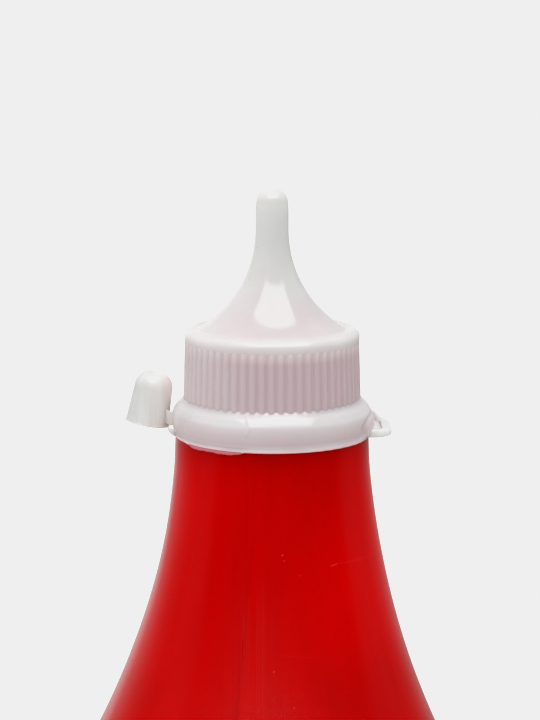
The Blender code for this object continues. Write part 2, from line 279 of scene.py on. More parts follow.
def closure_profile():
    """The turned outline from the nozzle's tip down the outside, round the lip and up the socket."""
    tip = arc_line((0, 41.15), (2.73, 2.28), 90, 8, 18)
    tip_edge = smooth_line([(2.703, 41.467), (2.76, 41.05), (2.81, 40.6), (2.86, 40.1), (2.88, 39.6)], 4)
    neck = straight_line((2.88, 39.4), (2.88, 36.8), 6)
    flare = bezier_line([(2.88, 36.5), (2.88, 28.78), (6.605, 22.79), (12.43, 19.05)], 54)
    valley = smooth_line([(12.43, 19.05), (12.8, 18.83), (13.08, 18.68), (13.32, 18.66), (13.6, 18.78)], 4)
    rim_top = smooth_line([(13.6, 18.78), (13.82, 18.83), (14.1, 18.81)], 3)
    rim = joined(rim_top, arc_line((14.05, 17.43), (1.38, 1.38), 84, 0, 16))
    band_knots = [(15.43, 17.43), (15.42, 17.1), (15.37, 16.7), (15.26, 16.2), (15.18, 15.7), GRIP_HEAD]
    band = smooth_line(band_knots, 4)
    grip = straight_line(GRIP_HEAD, (15.40, 7.1), 14)
    grip_foot = straight_line((15.40, 7.1), GRIP_FOOT, 4)
    teeth = smooth_line([GRIP_FOOT, (15.55, 6.46), (15.8, 6.26), (16.1, 6.02), (16.45, 5.74)], 6)
    shoulder_knots = [(16.45, 5.74), (16.87, 5.30), (17.25, 4.70), (17.50, 4.15), (17.62, 3.25), (17.65, 2.3)]
    shoulder = smooth_line(shoulder_knots, 4)
    foot_knots = [(17.65, 2.3), (17.61, 1.6), (17.50, 1.1), (17.36, 0.75), (17.24, 0.42), (17.15, 0.12)]
    foot = smooth_line(foot_knots, 3)
    lip = arc_line((17.03, 0.12), (0.12, 0.12), 0, -90, 3)
    socket = joined(
        straight_line((17.03, 0.0), (13.87, 0.0), 4),
        arc_line((13.87, 0.12), (0.12, 0.12), -90, -180, 3),
        straight_line((13.75, 0.12), (13.75, 15.9), 10),
        straight_line((13.65, 16.0), (0.0, 16.0), 6),
    )
    nozzle = joined(tip, tip_edge, neck, flare, valley, rim)
    return joined(nozzle, band, grip, grip_foot, teeth, shoulder, foot, lip, socket)


def rib_relief(radius, height, turn, rib_height, rib_width):
    """How far a rib stands out: a raised cosine across it, domed at its top.

    Below, the rib's crest runs on straight until the collar rises above it, so its foot makes a
    point. The result is added to the radius; the second array is 1 on a crest and 0 between ribs.
    """
    wall = np.interp(height, [GRIP_FOOT[1], GRIP_HEAD[1]], [GRIP_FOOT[0], GRIP_HEAD[0]])
    place = (turn - FRONT_RIB) / RIB_PITCH
    off = np.abs(place - np.round(place)) * RIB_PITCH * wall
    dome = np.sqrt(np.clip(1 - np.clip((height - RIB_TOP + RIB_DOME) / RIB_DOME, 0, 1) ** 2, 0, 1))
    across = np.clip(off / (0.5 * rib_width * np.maximum(dome, 0.05)), 0, 1)
    crest = (1 - across**2) ** 0.95 * (dome > 0.02)
    out = wall + rib_height * dome**0.6 * crest
    grip_zone = (height > 4.5) & (height < RIB_TOP + 0.05) & (radius > 15)
    return np.where(grip_zone, np.maximum(out - radius, 0), 0), crest * eased((RIB_TOP + 0.2 - height) / 0.4)


# How far the collar's side is from the axis, for distances along it.
COLLAR_RADIUS = 17.4
# Marks of the mould on the collar: a broken line of (degrees from the front, height), how wide the
# mark is to each side, and how far it rises.
CREASES = (
    (((-15.4, 6.1), (-13.0, 4.6), (-14.4, 3.0)), 0.20, 0.12),
    (((-57.0, 5.6), (-58.5, 4.2), (-61.0, 1.2)), 0.25, -0.10),
    (((-55.5, 5.3), (-55.8, 4.9)), 0.30, 0.14),
    (((44.0, 5.9), (47.5, 5.2)), 0.18, 0.10),
    (((48.5, 5.6), (58.0, 4.6)), 0.18, 0.05),
    (((46.5, 3.4), (46.3, 0.9)), 0.22, 0.03),
)


def crease(turn, height, path, width, rise):
    """A narrow moulded line on the collar: a bell of the distance to it, measured on the surface."""
    along = np.radians(from_front(turn)) * COLLAR_RADIUS * np.ones_like(height)
    place = np.stack([along, height], axis=-1)
    path = np.array([(math.radians(a) * COLLAR_RADIUS, z) for a, z in path])
    nearest = np.full(along.shape, np.inf)
    for start, end in zip(path, path[1:]):
        run = end - start
        share = np.clip(((place - start) @ run) / (run @ run), 0, 1)
        nearest = np.minimum(nearest, np.linalg.norm(place - start - share[..., None] * run, axis=-1))
    return rise * bell(nearest, 0, width)


def swell_edge(height):
    """Where the swell under the tether's bar begins, in degrees from +X, at each height."""
    return np.interp(height, [0, 2.0, 2.6, 3.1, 3.5, 4.2], [-26.0, -26.0, -25.0, -22.5, -19.0, -12.0])


def collar_relief(radius, height, turn):
    """Marks of the mould on the collar: the swell under the tether's bar, creases and flow lines."""
    on_collar = (radius > 15.9) & (height < 6.2)
    side = np.degrees((turn + np.pi) % TURN - np.pi)
    left_edge = swell_edge(height)
    lump = eased((side - left_edge) / 4.5) * eased((3.9 - height) / 0.9)
    hollow = eased((side - left_edge + 5.5) / 5.5) * eased((4.6 - height) / 1.4) - lump
    swell = (0.42 * lump - 0.16 * hollow) * eased((9.0 - side) / 9.0) * eased((height + 0.3) / 1.0)
    marks = sum(crease(turn, height, *mark) for mark in CREASES)
    wave = 0.035 * np.sin(3 * turn + 0.6) + 0.02 * np.sin(7 * turn + 2.1 + 0.4 * height)
    return np.where(on_collar, swell + marks + wave, 0.0)


def closure_painted_shade_and_tone(side, height):
    """Painted shade and a duller tone on the closure's white, by degrees from the front and mm over the lip.

    It is fitted to the photograph's front. Painted shade darkens the collar beside the swell, under
    the grip's foot at the sides and on the left, both on its top and just over the lip. The nozzle's
    foot is a little duller all round.
    """
    beside = bell(side - 90, swell_edge(height) - 0.5, 3.4) * eased((4.0 - height) / 0.8)
    shade = 1 - 0.20 * beside * eased((height - 1.2) / 1.2)
    shade *= 1 - 0.20 * bell(height, 6.35, 0.40) * eased((np.abs(side) - 20) / 12)
    shade *= 1 - 0.18 * bell(height, 0.60, 0.35) * eased((-4 - side) / 16)
    shade *= 1 - 0.13 * bell(height, 4.6, 1.3) * eased((-38 - side) / 25)
    foot = eased((height - NOZZLE_FOOT) / 0.5) * eased((33 - height) / 6)
    return np.where(height < COLLAR_TOP, shade, 1 - 0.04 * foot)


class SAUCE_OT_closure(bpy.types.Operator):
    """Make the turned closure with its nozzle, ribs and collar"""

    bl_idname = "sauce.closure"
    bl_label = "Nozzle closure"

    def execute(self, context):
        sizes = context.scene.sauce_sizes
        profile = closure_profile()
        turn = FRONT_RIB + ((np.arange(RIBS)[:, None] + RIB_COLUMNS) * RIB_PITCH).ravel()[None, :]
        radius, height = spun(profile, turn)
        outside = np.arange(len(profile))[:, None] <= np.argmax(profile[:, 1] <= 0.0)
        rise, crest = rib_relief(radius, height, turn, sizes.rib_height / MM, sizes.rib_width / MM)
        rise = rise + collar_relief(radius, height, turn)
        parting = 0.05 * bell(np.abs(np.cos(turn)), 1, 0.0011) * (height > 19.3)
        radius = radius + np.where(outside, rise + parting, 0.0)
        side = from_front(turn)
        # Painted light: the grip's left side, lit more, is painted a paler and less pink white.
        milky = 0.5 * eased((-8 - side) / 45) * eased((height - 6.3) / 0.4) * eased((17 - height) / 1.5)
        # At the sides the grip's foot melts into the collar.
        crest = crest * (1 - eased((np.abs(side) - 22) / 14) * eased((COLLAR_TOP - height) / 0.4))
        # Painted sheen: the nozzle's foot is painted whiter at the sides, by taking the rim's white there as
        # a rib's end does.
        painted_side_sheen = bell(np.abs(side), 90, 38) * eased((height - NOZZLE_FOOT) / 0.4) * eased((30 - height) / 6)
        crest = np.maximum(crest, 0.6 * painted_side_sheen)
        shade = np.where(outside, closure_painted_shade_and_tone(side, height), 1.0)
        fields = {"rib": crest * outside, "milky": milky * outside, "shade": shade}
        piece = skin("nozzle_closure", on_closure(turned(radius, height, turn)), fields)
        finish_piece(piece, "injection moulded polyethylene over sauce", "white_polyethylene", "closure")
        return {"FINISHED"}


# The tether: the bar and ear on the right, the strap behind, the tip cover on the left

# Each stop is x, y, half width and half height of the band, and the height of its middle.
TETHER_STOPS = (
    (16.6, -3.95, 0.80, 0.72, 0.68),
    (17.6, -4.00, 0.78, 0.72, 0.68),
    (18.7, -3.95, 0.80, 0.70, 0.70),
    (19.6, -3.60, 0.84, 0.66, 0.73),
    (20.15, -2.80, 0.86, 0.63, 0.76),
    (20.25, -1.60, 0.86, 0.63, 0.76),
    (20.25, -0.20, 0.85, 0.63, 0.76),
    (20.22, 1.40, 0.84, 0.63, 0.76),
    (20.20, 3.00, 0.80, 0.63, 0.76),
    (20.10, 4.60, 0.72, 0.63, 0.76),
    (19.80, 6.00, 0.54, 0.62, 0.76),
    (19.30, 7.10, 0.37, 0.62, 0.76),
    (18.98, 8.40, 0.33, 0.76, 0.90),
    (18.62, 10.20, 0.32, 0.80, 0.94),
)
# The last stops, where the strap widens into the tip cover.
COVER_STOPS = (
    (-18.75, 9.4, 0.34, 0.64, 0.80),
    (-18.9, 7.6, 0.42, 0.75, 0.95),
    (-19.1, 6.2, 0.55, 0.95, 1.2),
)
STRAP_MIDDLE = (0.0, 7.0)
STRAP_RADIUS = 18.9


def tether_stops():
    """The measured stops on the right, an arc behind the closure, then the stops at the tip cover."""
    turn = np.radians(np.linspace(16, 166, 26))
    x = STRAP_MIDDLE[0] + STRAP_RADIUS * np.cos(turn)
    y = STRAP_MIDDLE[1] + STRAP_RADIUS * np.sin(turn)
    tall = 0.18 * eased((np.radians(70) - turn) / np.radians(40))
    behind = np.stack([x, y, np.full(26, 0.32), 0.62 + tall, 0.76 + tall], axis=1)
    return np.vstack([TETHER_STOPS, behind, COVER_STOPS])


def squarish(wave):
    """A cosine or sine drawn out towards a square with round corners."""
    return np.sign(wave) * np.abs(wave) ** 0.45


class SAUCE_OT_tether(bpy.types.Operator):
    """Make the tether: a bar, a thick ear and a thin strap in one moulded band, and the ear's film"""

    bl_idname = "sauce.tether"
    bl_label = "Tether"

    def execute(self, context):
        stops = smooth_line(tether_stops(), 4)
        along = np.gradient(stops[:, :2], axis=0)
        along /= np.linalg.norm(along, axis=1)[:, None]
        side = np.stack([along[:, 1], -along[:, 0]], axis=1)
        turn = np.linspace(0, TURN, 24, endpoint=False)
        across = stops[:, 2:3] * squarish(np.cos(turn))
        level = stops[:, None, :2] + side[:, None, :] * across[..., None]
        band = raised(level, stops[:, 4:5] + stops[:, 3:4] * squarish(np.sin(turn)))
        # Both ends are closed by flat faces.
        start, end = [row.mean(axis=0) * np.ones_like(band[:1]) for row in (band[0], band[-1])]
        band = np.concatenate([start, band, end])
        bar = eased((-2.0 - band[..., 1]) / 1.5)
        ear = eased((band[..., 0] - 19.2) / 0.6) * eased((band[..., 1] + 3.0) / 1.0)
        # Fitted to the photograph: painted light on the bar, and painted shade on the upper sides, most on
        # the ear.
        on_top = np.clip(np.sin(turn), 0, 1)
        clear_piece("tether_strap", band, 0.95 + 0.08 * bar - (0.14 + 0.04 * ear) * on_top)
        # A film 0.2 mm thick closes the eye between the bar, the ear and the collar. It is painted darker, as
        # painted shade between them.
        y = np.linspace(-3.6, 9.0, 14)[:, None] * np.ones_like(turn)
        edge = np.interp(y, [-3.6, 5.0, 9.0], [19.5, 19.4, 18.7])
        x = 16.0 + (edge - 16.0) * (0.5 + 0.5 * np.cos(turn))
        clear_piece("ear_film", np.stack([x, y, 0.5 + 0.1 * np.sin(turn) + 0 * x], axis=-1), 0.86)
        return {"FINISHED"}


# The middle of the tip cover's open rim, and how far its top leans towards the closure.
COVER_BASE = np.array([-22.31, 5.0, 0.79])
COVER_TILT = math.radians(10.3)


def cover_profile():
    """The thimble's outline from its domed top down to the open rim, and up its bore."""
    turn = np.radians(np.linspace(90, 0, 19))
    dome = np.stack([3.42 * np.abs(np.cos(turn)) ** 0.84, 6.5 + 2.95 * np.abs(np.sin(turn)) ** 0.9], axis=1)
    side = straight_line((3.425, 6.3), (3.83, 0.5), 14)
    rim = smooth_line([(3.85, 0.35), (3.95, 0.1), (3.93, 0.0), (3.81, -0.03)], 3)
    bore = joined(
        straight_line((3.6, 0.0), (3.08, 0.0), 2),
        straight_line((2.98, 0.1), (2.88, 5.6), 8),
        arc_line((0, 5.6), (2.88, 2.9), 0, 90, 10),
    )
    return joined(dome, side, rim, bore)


class SAUCE_OT_tip_cover(bpy.types.Operator):
    """Make the open thimble that covers the cut nozzle"""

    bl_idname = "sauce.tip_cover"
    bl_label = "Tip cover"

    def execute(self, context):
        turn = np.linspace(0, TURN, 96, endpoint=False)[None, :]
        radius, height = spun(cover_profile(), turn)
        fluted = 0.012 * np.cos(24 * turn + 0.7) + 0.01 * np.cos(9 * turn + 2.0)
        low_edge = 0.05 * eased((0.5 - height) / 0.5) * (np.cos(7 * turn + 1.0) + np.cos(17 * turn))
        radius = radius + np.where(radius > 3.1, fluted + low_edge, 0.0)
        x, y, z = np.moveaxis(turned(radius, height, turn), -1, 0)
        cosine, sine = math.cos(COVER_TILT), math.sin(COVER_TILT)
        tilted = np.stack([x * cosine + z * sine, y, z * cosine - x * sine], axis=-1)
        # Fitted to the photograph: painted light, paler on the side of the closure, and painted shade, duller
        # on the other.
        clear_piece("tip_cover", tilted + COVER_BASE, 0.915 + 0.195 * np.cos(turn + 0.2))
        return {"FINISHED"}


# How far the flash hangs below the lip, in mm, at these degrees from the front.
FLASH_PLACES = (-180, -100, -75, -61, -52, -39, -31, -24, -19.3, -16.2, 10, 35, 60, 80, 120, 180)
FLASH_FALLS = (0.08, 0.08, 0.12, 0.12, 0.72, 0.62, 0.72, 0.7, 0.45, 0.12, 0.14, 0.18, 0.22, 0.16, 0.08, 0.08)
# The torn web from the collar to the strap: x, y and half thickness.
WEB_STOPS = ((-16.9, -2.6, 0.45), (-17.7, -1.6, 0.35), (-18.2, -0.4, 0.22), (-18.5, 1.0, 0.12))


class SAUCE_OT_flash(bpy.types.Operator):
    """Make the thin ragged flash under the lip, and the torn web and sheet beside the tip cover"""

    bl_idname = "sauce.flash"
    bl_label = "Moulding flash"

    def execute(self, context):
        self.make_flash()
        ring = np.linspace(0, TURN, 14, endpoint=False)
        # The torn web and sheet are painted darker than the clear plastic: painted shade beside the tip
        # cover.
        stops = smooth_line(WEB_STOPS, 6)
        level = stops[:, None, :2] + np.array([0.8, 0.6]) * (stops[:, 2:] * np.cos(ring))[..., None]
        middle = np.linspace(0.45, 0.75, len(stops))[:, None]
        clear_piece("torn_web", raised(level, middle + 1.5 * stops[:, 2:] * np.sin(ring)), 0.82)
        share = np.linspace(0, 1, 14)[:, None]
        line = np.array([-17.1, -0.9]) * (1 - share) + np.array([-19.2, 3.6]) * share
        level = line[:, None, :] + np.array([0.14, 0.06]) * np.cos(ring)[:, None]
        height = 2.55 - 0.35 * share + (1.25 + 0.15 * share) * np.sin(ring) + 0.08 * np.sin(9 * share)
        clear_piece("torn_sheet", raised(level, height), 0.86)
        return {"FINISHED"}

    def make_flash(self):
        """A thin ring round the lip with a wavy edge, wavier where it hangs deep."""
        even, deep = np.linspace(-180, 180, 181), np.linspace(-61, -16, 150)
        degrees = np.unique(np.concatenate([even, deep]))[:, None]
        fall = np.interp(degrees, FLASH_PLACES, FLASH_FALLS)
        fall = fall + 0.03 * np.sin(degrees * 0.9) * eased(fall / 0.4) + 0.012 * np.sin(degrees * 2.3)
        ring = np.linspace(0, TURN, 32, endpoint=False)
        height = 0.1 - (fall + 0.1) * (0.5 - 0.5 * np.cos(ring))
        share = np.clip(-height / np.maximum(fall, 0.01), 0, 1)
        radius = 17.16 + 0.07 * np.sin(ring) - 0.02 * share
        grid = turned(radius, height, np.radians(degrees) - TURN / 4)
        piece = skin("lip_flash", on_closure(grid), {"fall": share * eased((fall - 0.25) / 0.25)})
        finish_piece(piece, "thin polyethylene flash", "white_polyethylene")


# The bottle

# How far under the lip, in mm, the waist goes over into the round shoulder.
WAIST_END = 57.5
# Where the mould's halves meet, in degrees from +X.
SEAM = -101.95
# Bright and dull bands of the wall, fitted to the photograph: how much brighter, the middle and width
# in degrees from the front, and the middle and width in mm under the lip. The last is a glint on
# the parting line.
WALL_BANDS = (
    (-0.07, 30, 18, 6, 6),
    (0.13, 38, 20, 23, 10),
    (0.06, -60, 25, 13, 10),
    (0.10, 70, 18, 20, 18),
    (0.12, SEAM + 89.6, 0.35, 29.3, 2.2),
)


def waist_radius(depth):
    """The waist's radius by the depth under the lip, both in mm."""
    return 17.1 + 0.035 * depth + 0.004 * depth**2


def bottle_profile(body_radius, lip):
    """The outline in mm from the plain neck's top down to the middle of the push-up.

    The round shoulder takes over from the waist at the same slope.
    """
    depth = np.linspace(1.0, WAIST_END, 76)
    slope = math.atan(0.035 + 0.008 * WAIST_END)
    shoulder = (body_radius - waist_radius(WAIST_END)) / (1 - math.cos(slope))
    centre = (body_radius - shoulder, lip - WAIST_END - shoulder * math.sin(slope))
    return joined(
        straight_line((0, lip + 15.4), (13.1, lip + 15.4), 4),
        arc_line((13.1, lip + 15.1), (0.3, 0.3), 90, 0, 4),
        straight_line((13.4, lip + 15.1), (13.4, lip), 8),
        straight_line((13.5, lip - 0.08), (16.95, lip - 0.08), 4),
        arc_line((16.95, lip - 0.23), (0.15, 0.15), 90, 4, 4),
        np.stack([waist_radius(depth), lip - depth], axis=1),
        arc_line(centre, (shoulder, shoulder), math.degrees(slope), 0, 24),
        straight_line((body_radius, centre[1]), (body_radius, 7.5), 60),
        arc_line((body_radius - 6.5, 7.5), (6.5, 7.5), 0, -90, 24),
        straight_line((body_radius - 6.5, 0), (22.2, 0), 6),
        arc_line((22.2, 0.3), (0.9, 0.3), -90, -150, 3),
        smooth_line([(20.6, 0.42), (17.0, 1.35), (12.0, 2.2), (6.0, 2.85), (0.0, 3.0)], 6),
    )


def wall_shade(side, depth):
    """How bright the red is, by degrees from the front and mm under the lip.

    Fitted to the photograph's front: a painted shadow under the lip, and paler and deeper bands.
    An uneven wall may be their cause, or the light.
    """
    shade = 1.01 - 0.37 * np.exp(-depth / 2.6)
    for gain, middle, width, deep, tall in WALL_BANDS:
        shade *= 1 + gain * bell(side, middle, width) * bell(depth, deep, tall)
    shade *= 1 - 0.06 * eased((-4 - side) / 18) * eased((depth - 7) / 12)
    shade *= 1 - 0.12 * eased((side - 2) / 28) * eased((depth - 33) / 9)
    shade *= 1 - 0.10 * eased((-35 - side) / 20) * eased((depth - 35) / 9)
    shade *= 1 - 0.05 * bell(side, -12, 2.5) * eased((depth - 16) / 8)
    return shade * (1 - 0.04 * bell(side, 1.5, 5))


class SAUCE_OT_bottle(bpy.types.Operator):
    """Make the blown bottle with its parting line and slightly uneven wall"""

    bl_idname = "sauce.bottle"
    bl_label = "Bottle"

    def execute(self, context):
        sizes = context.scene.sauce_sizes
        lip = sizes.lip_height / MM
        even = np.linspace(0, TURN, 320, endpoint=False)
        near_seam = np.radians(SEAM + np.linspace(-3, 3, 25))
        at_seams = np.concatenate([near_seam, near_seam + np.pi]) % TURN
        turn = np.unique(np.concatenate([even, at_seams]))[None, :]
        radius, height = spun(bottle_profile(sizes.body_radius / MM, lip), turn)
        outside = eased((lip - 1.5 - height) / 4) * eased(height / 6)
        wave = np.sin(2 * turn + 0.03 * height) + 0.7 * np.sin(5 * turn - 0.05 * height + 1.3)
        wave = wave + 0.5 * np.sin(9 * turn + 0.11 * height) * np.sin(0.09 * height + 2)
        off_seam = (turn - math.radians(SEAM) + 0.5 * np.pi) % np.pi - 0.5 * np.pi
        line = bell(25 * off_seam, 0, 0.22) * outside
        radius = radius + outside * wave * sizes.wall_wave / MM + line * sizes.parting_height / MM
        points = turned(radius, height, turn)
        low, high = lip - 75, lip - 10
        points[..., 0] += sizes.lean / MM * eased((points[..., 2] - low) / (high - low))
        side = from_front(turn)
        depth = np.maximum(lip - height, 0)
        # The shade field holds a painted shadow under the lip and painted shade along the parting line, with
        # paler and deeper bands; the other two fields say where pale lines and dots go, as painted sheen and
        # glints on real draw lines and grain.
        fields = {
            "shade": wall_shade(side, depth) * (1 - 0.14 * line * eased((depth - 18) / 8)),
            "drawn": bell(side, -6, 11) * eased((depth - 19) / 12),
            "grit_and_glints": bell(side, 2, 12) * eased((depth - 36) / 8),
        }
        piece = skin("blown_bottle", points * MM, fields)
        finish_piece(piece, "blow moulded red polyethylene", "red_polyethylene", "bottle")
        return {"FINISHED"}


# Nodes


def add(tree, kind, inputs=None, **settings):
    """Add one node: settings are its properties, inputs are values or sockets."""
    node = tree.nodes.new(kind)
    for name, value in settings.items():
        setattr(node, name, value)
    for socket, value in (inputs or {}).items():
        if isinstance(value, bpy.types.NodeSocket):
            tree.links.new(value, node.inputs[socket])
        else:
            node.inputs[socket].default_value = value
    return node


def coordinate(tree, place, axis):
    """One of a vector's numbers."""
    return add(tree, "ShaderNodeSeparateXYZ", {"Vector": place}).outputs[axis]


def stretched(tree, place, scale):
    """Places scaled along each axis, so that a pattern on them is drawn out."""
    return add(tree, "ShaderNodeMapping", {"Vector": place, "Scale": scale}).outputs["Vector"]


def field(tree, name, output="Fac"):
    """One of the fields that the mesh carries."""
    return add(tree, "ShaderNodeAttribute", attribute_name=name).outputs[output]


def noise(tree, place, scale, detail):
    """Soft noise with so many features to the metre."""
    return add(tree, "ShaderNodeTexNoise", {"Vector": place, "Scale": scale, "Detail": detail}).outputs["Fac"]


def remap(tree, value, start, end, low=0.0, high=1.0, **settings):
    """The value's way from start to end, as the way from low to high."""
    inputs = {"Value": value, "From Min": start, "From Max": end, "To Min": low, "To Max": high}
    return add(tree, "ShaderNodeMapRange", inputs, **settings).outputs["Result"]


def maths(tree, operation, *values):
    """A number from other numbers."""
    return add(tree, "ShaderNodeMath", dict(enumerate(values)), operation=operation).outputs["Value"]


def vectors(tree, operation, *values, output="Vector"):
    """A vector from other vectors, or with the output Value a number."""
    return add(tree, "ShaderNodeVectorMath", dict(enumerate(values)), operation=operation).outputs[output]


def ramp(tree, share, stops):
    """A colour by a share: each stop is a position, and one level or three linear ones."""
    node = add(tree, "ShaderNodeValToRGB", {"Fac": share})
    elements = node.color_ramp.elements
    for index, (position, level) in enumerate(stops):
        element = elements[index] if index < 2 else elements.new(position)
        element.position = position
        element.color = (*level, 1.0) if isinstance(level, tuple) else (level, level, level, 1.0)
    return node.outputs["Color"]


def mixed(tree, share, first, second, **settings):
    """A blend of two colours, each a socket or three linear levels."""
    colours = [c if isinstance(c, bpy.types.NodeSocket) else (*c, 1.0) for c in (first, second)]
    inputs = {"Fac": share, "Color1": colours[0], "Color2": colours[1]}
    return add(tree, "ShaderNodeMixRGB", inputs, **settings).outputs["Color"]


def multiplied(tree, first, second):
    """One colour filtered by another."""
    return mixed(tree, 1.0, first, second, blend_type="MULTIPLY")


def blended(tree, share, first, second):
    """A level between two others."""
    inputs = {"Factor": share, "A": first, "B": second}
    return add(tree, "ShaderNodeMix", inputs, data_type="FLOAT").outputs["Result"]


def bumped(tree, height, strength, distance):
    """The normal of a fine relief."""
    inputs = {"Strength": strength, "Distance": distance, "Height": height}
    return add(tree, "ShaderNodeBump", inputs).outputs["Normal"]


def new_material(name):
    """An empty material, ready for nodes."""
    material = bpy.data.materials.new(name)
    material.use_nodes = True
    material.node_tree.nodes.clear()
    return material, material.node_tree


# Plastics

# Handling marks on the bottle's front and pits in the nozzle's: x and height over the lip of both
# ends, half width, and how strong they are.
MARKS = (
    (0.5, -34.0, 6.7, -34.7, 0.06, 0.05),
    (10.1, -20.0, 11.2, -19.8, 0.10, 0.22),
    (11.4, -19.8, 17.3, -20.1, 0.05, 0.08),
    (-1.58, -22.0, -1.58, -60.0, 0.11, 0.04),
    (2.0, -18.5, 2.15, -18.45, 0.10, 0.40),
    (4.7, -21.1, 4.9, -21.0, 0.08, 0.25),
    (0.2, -36.8, 0.45, -36.65, 0.10, 0.35),
    (3.7, -42.6, 3.8, -42.5, 0.10, 0.40),
    # The last is no handling mark but a painted glint beside the parting line.
    (-4.8, -27.5, -4.9, -31.5, 0.14, 0.05),
)
PITS = (
    (-2.54, 33.2, -2.50, 33.4, 0.12, 0.45),
    (-3.50, 26.8, -3.44, 26.8, 0.12, 0.45),
    (4.68, 27.8, 4.72, 27.8, 0.10, 0.30),
    (2.20, 32.3, 2.22, 32.2, 0.09, 0.25),
    (-1.10, 35.9, -1.06, 35.9, 0.08, 0.20),
)
# Tints of the clear plastic from 24 mm left of the closure's axis to 24 mm right of it: warmer
# beside the closure, whose red glow it catches, and where the strap is thin.
CLEAR_TINTS = (
    (0.05, (1.0, 1.0, 1.0)),
    (0.11, (1.0, 0.95, 0.93)),
    (0.15, (1.0, 0.89, 0.88)),
    (0.20, (1.0, 1.0, 1.0)),
    (0.85, (0.985, 0.965, 0.96)),
    (0.912, (0.985, 0.965, 0.96)),
    (0.930, (1.0, 1.0, 1.0)),
)
# The flash from the lip down to its free edge: a pale line, a dark fold and three paler ones.
FLASH_LAYERS = (
    (0.0, "#F4CCCF"),
    (0.10, "#D28E94"),
    (0.24, "#96424A"),
    (0.42, "#E2979C"),
    (0.56, "#B4606A"),
    (0.72, "#F08A90"),
    (0.84, "#C8505A"),
    (1.0, "#FF8088"),
)
# The heights over the lip and the ways from the axis that those plastics' bands are shares of.
BAND_HEIGHT = 0.044
BAND_REACH = 0.024
GRIP_LEFT_LIGHT = to_linear("#D8D1D1")
PIT = to_linear("#8A8C88")
SPECK_AND_GLINT = to_linear("#E88A86")


def front_marks(tree, place, marks):
    """The strongest mark at each place on the front: a soft line that fades over its half width."""
    sizes = bpy.context.scene.sauce_sizes
    flat = vectors(tree, "MULTIPLY", place, (1.0, 0.0, 1.0))
    total = 0.0
    for x0, z0, x1, z1, width, strength in marks:
        start = Vector((sizes.lean + x0 * MM, 0.0, sizes.lip_height + z0 * MM))
        run = Vector((x1 - x0, 0.0, z1 - z0)) * MM
        off = vectors(tree, "SUBTRACT", flat, start)
        share = vectors(tree, "DOT_PRODUCT", off, run / run.length_squared, output="Value")
        share = add(tree, "ShaderNodeClamp", {"Value": share}).outputs["Result"]
        far = vectors(tree, "DISTANCE", off, vectors(tree, "MULTIPLY", run, share), output="Value")
        total = maths(tree, "MAXIMUM", remap(tree, far, width * MM, 0.0, 0.0, strength), total)
    front = maths(tree, "LESS_THAN", coordinate(tree, place, "Y"), 0.0)
    return maths(tree, "MULTIPLY", total, front)


def finish_plastic(tree, inputs):
    """Give a plastic its surface, with these inputs of the Principled shader."""
    shader = add(tree, "ShaderNodeBsdfPrincipled", inputs)
    add(tree, "ShaderNodeOutputMaterial", {"Surface": shader.outputs["BSDF"]})


def closure_plastic(tree):
    """Low-density polyethylene, injection moulded in its natural milky white.

    It lets some light through, so a wall with sauce behind it looks pink, most where it is thin,
    and its thick rims and the solid nozzle stay white. The mould gives it a soft gloss.
    """
    colours = bpy.context.scene.sauce_colours
    white, rim, collar = tuple(colours.natural_white), tuple(colours.rim_white), tuple(colours.collar_white)
    pink, rib_pink, flare = tuple(colours.sauce_pink), tuple(colours.rib_pink), tuple(colours.flare_pink)
    foot, lip, painted_light_band = tuple(colours.collar_pink), tuple(colours.lip_painted_light), tuple(colours.edge_band_painted_light)
    fading = tuple(colours.under_rim)
    grey = tuple(0.91 * c for c in white)
    neutral = tuple(c * tint for c, tint in zip(white, (0.92, 0.90, 0.92)))
    place = add(tree, "ShaderNodeTexCoord").outputs["Object"]
    # Up from the lip: collar, grip, rim and the nozzle's flared foot, in shares of 44 mm.
    # The collar's white reaches higher between the ribs than on them, so their feet make points.
    lip_height = bpy.context.scene.sauce_sizes.lip_height
    level = remap(tree, coordinate(tree, place, "Z"), lip_height, lip_height + BAND_HEIGHT)
    # The lip and the band over it take painted light: paler colours where they face down or lie in a hollow.
    low = [(0.0, lip), (0.01, lip), (0.014, painted_light_band), (0.02, painted_light_band), (0.032, foot), (0.055, foot), (0.1, collar)]
    wall = [(0.148, collar), (0.154, pink), (0.334, pink), (0.361, fading), (0.395, rim), (0.42, rim)]
    high = [(0.432, flare), (0.50, flare), (0.60, neutral), (0.70, grey), (0.78, grey), (0.93, white)]
    rib = [(0.138, collar), (0.144, rib_pink), (0.332, rib_pink), (0.361, fading), (0.386, rim)]
    between = ramp(tree, level, low + wall + high)
    base = mixed(tree, field(tree, "rib"), between, ramp(tree, level, low + rib))
    # Painted light on the grip's left side.
    base = mixed(tree, field(tree, "milky"), base, GRIP_LEFT_LIGHT)
    # Cloudy patches 6 mm across: the wall and the sauce behind it aren't even.
    cloud = remap(tree, noise(tree, place, 160.0, 2.0), 0.35, 0.65, 0.0, 0.16)
    base = mixed(tree, cloud, base, pink)
    # The shade field's painted shade on the collar.
    base = multiplied(tree, base, field(tree, "shade", "Color"))
    base = mixed(tree, front_marks(tree, place, PITS), base, PIT)
    fine = noise(tree, place, 1400.0, 3.0)
    inputs = {
        "Base Color": base,
        "Roughness": remap(tree, fine, 0.0, 1.0, 0.08, 0.20),
        "Normal": bumped(tree, fine, 0.12, 0.00003),
        "IOR": 1.51,
        "Subsurface Weight": 0.35,
        "Subsurface Radius": (1.0, 0.75, 0.7),
        "Subsurface Scale": 0.0011,
    }
    finish_plastic(tree, inputs)


